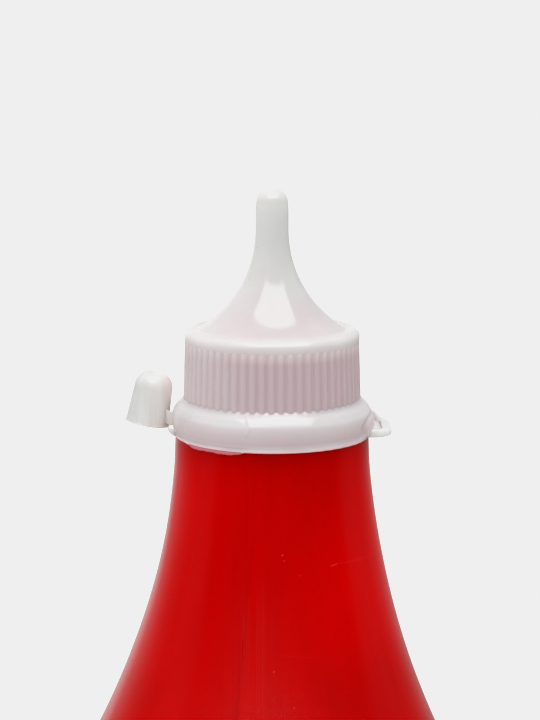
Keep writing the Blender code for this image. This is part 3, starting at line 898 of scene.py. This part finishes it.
def clear_plastic(tree):
    """The same polyethylene where nothing red is behind it: tether, tip cover and web.

    It is a cool, milky white that darkens a little along faint draw lines.
    """
    white = tuple(bpy.context.scene.sauce_colours.clear_white)
    dim = tuple(0.92 * c for c in white)
    place = add(tree, "ShaderNodeTexCoord").outputs["Object"]
    # Draw lines 1 mm apart, stretched along the height.
    lines = noise(tree, stretched(tree, place, (1.0, 1.0, 0.08)), 900.0, 2.0)
    across = remap(tree, coordinate(tree, place, "X"), -BAND_REACH, BAND_REACH)
    tint = multiplied(tree, ramp(tree, across, CLEAR_TINTS), field(tree, "shade", "Color"))
    inputs = {
        "Base Color": multiplied(tree, ramp(tree, lines, [(0.35, dim), (0.6, white)]), tint),
        "Roughness": remap(tree, lines, 0.0, 1.0, 0.10, 0.24),
        "Normal": bumped(tree, lines, 0.15, 0.00003),
        "IOR": 1.51,
        "Subsurface Weight": 0.8,
        "Subsurface Radius": (1.0, 0.95, 0.92),
        "Subsurface Scale": 0.001,
    }
    finish_plastic(tree, inputs)


def flash_plastic(tree):
    """Moulding flash: the same polyethylene pressed so thin that the red behind it shows pink."""
    layers = [(share, to_linear(shade)) for share, shade in FLASH_LAYERS]
    base = ramp(tree, field(tree, "fall"), layers)
    finish_plastic(tree, {"Base Color": base, "Roughness": 0.35, "IOR": 1.51})


def bottle_plastic(tree):
    """High-density polyethylene, coloured through and blown in a mould.

    The mould's fine blasting gives it a satin face. Drawing the hot tube leaves faint upright
    lines, and handling leaves pale specks and hairline scratches.
    """
    colours = bpy.context.scene.sauce_colours
    red, dark = tuple(colours.bottle_red), tuple(colours.bottle_dark)
    place = add(tree, "ShaderNodeTexCoord").outputs["Object"]
    # Fine draw lines 0.4 mm apart and 60 mm long, stronger in some places than in others.
    drawn = stretched(tree, place, (1.0, 1.0, 0.006))
    lines = noise(tree, drawn, 2600.0, 2.0)
    streak = maths(tree, "MULTIPLY", lines, noise(tree, drawn, 420.0, 1.0))
    base = ramp(tree, streak, [(0.14, dark), (0.36, red)])
    # The shade field's painted shadow under the lip and its bands.
    base = multiplied(tree, base, field(tree, "shade", "Color"))
    # Specks: one in ten cells of a 3 mm mesh holds a pale dot up to 0.27 mm across.
    cells = add(tree, "ShaderNodeTexVoronoi", {"Vector": place, "Scale": 330.0})
    chosen = add(tree, "ShaderNodeSeparateColor", {"Color": cells.outputs["Color"]}).outputs["Red"]
    chosen = maths(tree, "GREATER_THAN", chosen, 0.9)
    dot = maths(tree, "LESS_THAN", cells.outputs["Distance"], 0.045)
    pale = maths(tree, "MULTIPLY", maths(tree, "MULTIPLY", chosen, dot), 0.35)
    # Hair-fine lines 0.2 mm apart and gritty dots, painted pale where their fields say: painted sheen on real
    # draw lines, and painted glints on a fine grain.
    hair = noise(tree, stretched(tree, place, (1.0, 0.0, 0.002)), 5000.0, 1.0)
    hair = remap(tree, hair, 0.4, 0.75, 0.0, 0.035)
    pale = maths(tree, "MULTIPLY_ADD", hair, field(tree, "drawn"), pale)
    grit_and_glints = remap(tree, noise(tree, place, 6000.0, 0.0), 0.62, 0.85, 0.0, 0.13)
    pale = maths(tree, "MULTIPLY_ADD", grit_and_glints, field(tree, "grit_and_glints"), pale)
    pale = maths(tree, "MAXIMUM", pale, front_marks(tree, place, MARKS))
    relief = maths(tree, "ADD", lines, noise(tree, place, 5000.0, 1.0))
    inputs = {
        "Base Color": mixed(tree, pale, base, SPECK_AND_GLINT),
        "Roughness": remap(tree, streak, 0.0, 1.0, 0.10, 0.14),
        "Normal": bumped(tree, relief, 0.15, 0.00004),
        "IOR": 1.54,
        "Specular IOR Level": 0.4,
        "Subsurface Weight": 1.0,
        "Subsurface Radius": (1.0, 0.15, 0.15),
        "Subsurface Scale": 0.005,
    }
    finish_plastic(tree, inputs)


PLASTICS = {
    "injection moulded polyethylene over sauce": closure_plastic,
    "injection moulded polyethylene": clear_plastic,
    "thin polyethylene flash": flash_plastic,
    "blow moulded red polyethylene": bottle_plastic,
}


# The stage

# The studio's light on matt surfaces. For each side, given by its bearing from the front, the light
# at five heights: straight below, just under the level, a little over it, at 45 degrees and above.
HEIGHTS = (0.0, 0.45, 0.62, 0.85, 1.0)
ROOM = (
    (0, (0.8, 0.82, 0.55, 1.72, 1.60)),
    (90, (0.8, 0.80, 0.30, 1.68, 1.60)),
    (180, (0.8, 0.98, 1.60, 1.76, 1.60)),
    (270, (0.8, 1.10, 1.25, 1.76, 1.60)),
)
# What gloss mirrors: the wall behind, by how far behind the bottle and how high it lies, and the
# faint glow over the front, by its height. The wall stands at this bearing from the front.
WALL_BEARING = 189.1
WALL_BEHIND = (
    (0.34, 0.01),
    (0.42, 0.07),
    (0.57, 0.085),
    (0.65, 0.065),
    (0.72, 0.086),
    (0.79, 0.132),
    (0.85, 0.225),
    (0.94, 0.46),
    (0.985, 1.0),
)
WALL_HEIGHT = ((0.3, 0.3), (0.40, 0.61), (0.46, 0.90), (0.55, 1.0), (0.75, 0.6), (1.0, 0.2))
GLOW_ABOVE = ((0.58, 0.0), (0.66, 0.05), (0.75, 0.18), (0.85, 0.5), (1.0, 0.5))

# Lamp, bearing from the front, height over the level, distance, facing, width, height, watts, mirrored.
# Facing is the height over the level that its back points to: it shines the opposite way.
# The softbox is two lamps in one place, so that its mirror image and its light are set apart.
LAMPS = (
    ("softbox in gloss", 10.6, 71.6, 0.9, 54, 1.08, 0.79, 14.4, True),
    ("softbox", 10.6, 71.6, 0.9, 54, 1.08, 0.79, 1.1, False),
)

# The film's response: straight up to the middle tones, then a shoulder up to the pale backdrop.
FILM = ((0.0, 0.0), (0.55, 0.55), (0.8, 0.755), (1.0, to_linear("#EFEFEF")[0]))

# How bright the camera sees the backdrop and the table, enough to reach the film's end.
BACKDROP = 1.1
TABLE_RADIUS = 12.0
TABLE_HEIGHT = -0.0002
# One pixel of the photograph at the closure, in metres.
PIXEL = MM / 5.65


def around(azimuth, elevation, distance=1.0):
    """The way to a point at that bearing from the front and that height over the level."""
    a, e = math.radians(azimuth), math.radians(elevation)
    return distance * Vector((math.sin(a) * math.cos(e), -math.cos(a) * math.cos(e), math.sin(e)))


def area_light(name, place, back, width, height, watts, mirrored):
    """A rectangular lamp, for gloss to mirror or to light matt surfaces. Its rear points along back."""
    lamp = bpy.data.lights.new(name, "AREA")
    lamp.shape = "RECTANGLE"
    lamp.size, lamp.size_y = width, height
    lamp.energy = watts
    holder = bpy.data.objects.new(name, lamp)
    bpy.context.scene.collection.objects.link(holder)
    holder.location = place
    holder.rotation_mode = "QUATERNION"
    holder.rotation_quaternion = back.to_track_quat("Z", "Y")
    holder.visible_camera = False
    holder.visible_glossy = mirrored
    holder.visible_diffuse = holder.visible_transmission = not mirrored


class SAUCE_OT_stage(bpy.types.Operator):
    """Make the pale floor, the soft studio light and the camera"""

    bl_idname = "sauce.stage"
    bl_label = "Stage"

    def execute(self, context):
        self.make_floor()
        self.make_world()
        sizes = context.scene.sauce_sizes
        neck = Vector((sizes.lean, 0.0, sizes.lip_height))
        for name, bearing, rise, distance, facing, *rest in LAMPS:
            area_light(name, neck + around(bearing, rise, distance), around(bearing, facing), *rest)
        self.make_camera(context.scene, sizes)
        self.make_film(context.scene.view_settings)
        return {"FINISHED"}

    def make_camera(self, scene, sizes):
        """The photograph's camera, two pixels left of the closure's axis."""
        stage = scene.sauce_stage
        camera = bpy.data.cameras.new("photo camera")
        camera.sensor_fit = "AUTO"
        camera.sensor_width = 36.0
        camera.lens = stage.lens
        camera.clip_start, camera.clip_end = 0.02, 50.0
        holder = bpy.data.objects.new("photo camera", camera)
        scene.collection.objects.link(holder)
        height = sizes.lip_height + stage.camera_height
        holder.location = (sizes.lean - 2 * PIXEL, -stage.camera_distance, height)
        holder.rotation_euler = (math.pi / 2 - stage.camera_tilt, 0.0, 0.0)
        scene.camera = holder

    def make_film(self, view):
        """The film's curve, on all three colours alike."""
        view.view_transform = "Standard"
        view.use_curve_mapping = True
        points = view.curve_mapping.curves[3].points
        for level, shown in FILM[1:-1]:
            points.new(level, shown)
        points[len(points) - 1].location = FILM[-1]
        view.curve_mapping.extend = "HORIZONTAL"
        view.curve_mapping.update()

    def make_floor(self):
        """A round table 24 m across, so that its edge is never near the bottle."""
        ring = turned(TABLE_RADIUS, TABLE_HEIGHT, np.linspace(0, TURN, 96, endpoint=False))
        points = np.vstack([[0, 0, TABLE_HEIGHT], ring])
        faces = [(0, 1 + index, 1 + (index + 1) % 96) for index in range(96)]
        mesh = bpy.data.meshes.new("table")
        mesh.from_pydata(points.tolist(), [], faces)
        mesh.update()
        floor = bpy.data.objects.new("table", mesh)
        bpy.context.scene.collection.objects.link(floor)
        material, tree = new_material("lit white table")
        place = add(tree, "ShaderNodeTexCoord").outputs["Object"]
        away = vectors(tree, "LENGTH", place, output="Value")
        strength = remap(tree, away, 0.05, 0.3, 0.5, BACKDROP, interpolation_type="SMOOTHSTEP")
        seen = add(tree, "ShaderNodeLightPath").outputs["Is Camera Ray"]
        glow = add(tree, "ShaderNodeEmission", {"Strength": maths(tree, "MULTIPLY", strength, seen)})
        paper = add(tree, "ShaderNodeBsdfDiffuse", {"Color": (0.4, 0.4, 0.4, 1.0)})
        both = add(tree, "ShaderNodeAddShader", {0: glow.outputs[0], 1: paper.outputs[0]})
        add(tree, "ShaderNodeOutputMaterial", {"Surface": both.outputs[0]})
        mesh.materials.append(material)
        floor.visible_glossy = False

    def make_world(self):
        """Plain pale for the camera, and the studio's light for matt surfaces and for gloss."""
        world = bpy.data.worlds.new("studio")
        bpy.context.scene.world = world
        world.use_nodes = True
        tree = world.node_tree
        tree.nodes.clear()
        direction = add(tree, "ShaderNodeTexCoord").outputs["Generated"]
        height = remap(tree, coordinate(tree, direction, "Z"), -1.0, 1.0)
        matt = self.room_light(tree, direction, height)
        gloss = self.mirrored_light(tree, direction, height)
        rays = add(tree, "ShaderNodeLightPath").outputs
        unseen = blended(tree, rays["Is Glossy Ray"], matt, gloss)
        strength = blended(tree, rays["Is Camera Ray"], unseen, BACKDROP)
        light = add(tree, "ShaderNodeBackground", {"Color": (1.0, 1.0, 1.0, 1.0), "Strength": strength})
        add(tree, "ShaderNodeOutputWorld", {"Surface": light.outputs["Background"]})
        # Sampled only by the rays that meet it, so that gloss never sees the even light.
        world.cycles.sampling_method = "NONE"

    def room_light(self, tree, direction, height):
        """Light by direction: each side's share is the squared cosine of the bearing from it."""
        level = vectors(tree, "NORMALIZE", vectors(tree, "MULTIPLY", direction, (1.0, 1.0, 0.0)))
        total = 0.0
        for bearing, lights in ROOM:
            cosine = vectors(tree, "DOT_PRODUCT", level, around(bearing, 0), output="Value")
            cosine = maths(tree, "MAXIMUM", cosine, 0.0)
            share = maths(tree, "MULTIPLY", cosine, cosine)
            light = ramp(tree, height, zip(HEIGHTS, lights))
            total = maths(tree, "MULTIPLY_ADD", share, light, total)
        return total

    def mirrored_light(self, tree, direction, height):
        """What gloss sees by direction: the wall behind times its fall with height, and the glow above."""
        behind = vectors(tree, "DOT_PRODUCT", direction, around(WALL_BEARING, 0), output="Value")
        wall = ramp(tree, remap(tree, behind, -1.0, 1.0), WALL_BEHIND)
        fall = ramp(tree, height, WALL_HEIGHT)
        return maths(tree, "MULTIPLY_ADD", wall, fall, ramp(tree, height, GLOW_ABOVE))


PIECES = (
    SAUCE_OT_bottle,
    SAUCE_OT_closure,
    SAUCE_OT_tether,
    SAUCE_OT_tip_cover,
    SAUCE_OT_flash,
    SAUCE_OT_stage,
)


class SAUCE_PT_panel(bpy.types.Panel):
    """Lists the bottle's pieces, sizes and colours"""

    bl_idname = "SAUCE_PT_panel"
    bl_label = "Ketchup bottle"
    bl_space_type = "VIEW_3D"
    bl_region_type = "UI"
    bl_category = "Bottle"

    def draw(self, context):
        for piece in PIECES:
            self.layout.operator(piece.bl_idname)
        for group_name, group in GROUPS.items():
            box = self.layout.box()
            for name in group.__annotations__:
                box.prop(getattr(context.scene, group_name), name)


GROUPS = {
    "sauce_sizes": SauceBottleSizes,
    "sauce_colours": SauceBottleColours,
    "sauce_stage": SauceBottleStage,
}
CLASSES = (*GROUPS.values(), *PIECES, SAUCE_PT_panel)


def register():
    """Add the classes and the scene's properties."""
    for cls in CLASSES:
        bpy.utils.register_class(cls)
    for name, group in GROUPS.items():
        setattr(bpy.types.Scene, name, PointerProperty(type=group))


def unregister():
    """Take the scene's properties and the classes away again."""
    for name in GROUPS:
        delattr(bpy.types.Scene, name)
    for cls in reversed(CLASSES):
        bpy.utils.unregister_class(cls)


def main():
    """Make every piece."""
    register()
    for piece in PIECES:
        group, name = piece.bl_idname.split(".")
        if getattr(getattr(bpy.ops, group), name)() != {"FINISHED"}:
            raise RuntimeError(f"{piece.bl_label} wasn't made")


if __name__ == "__main__":
    main()
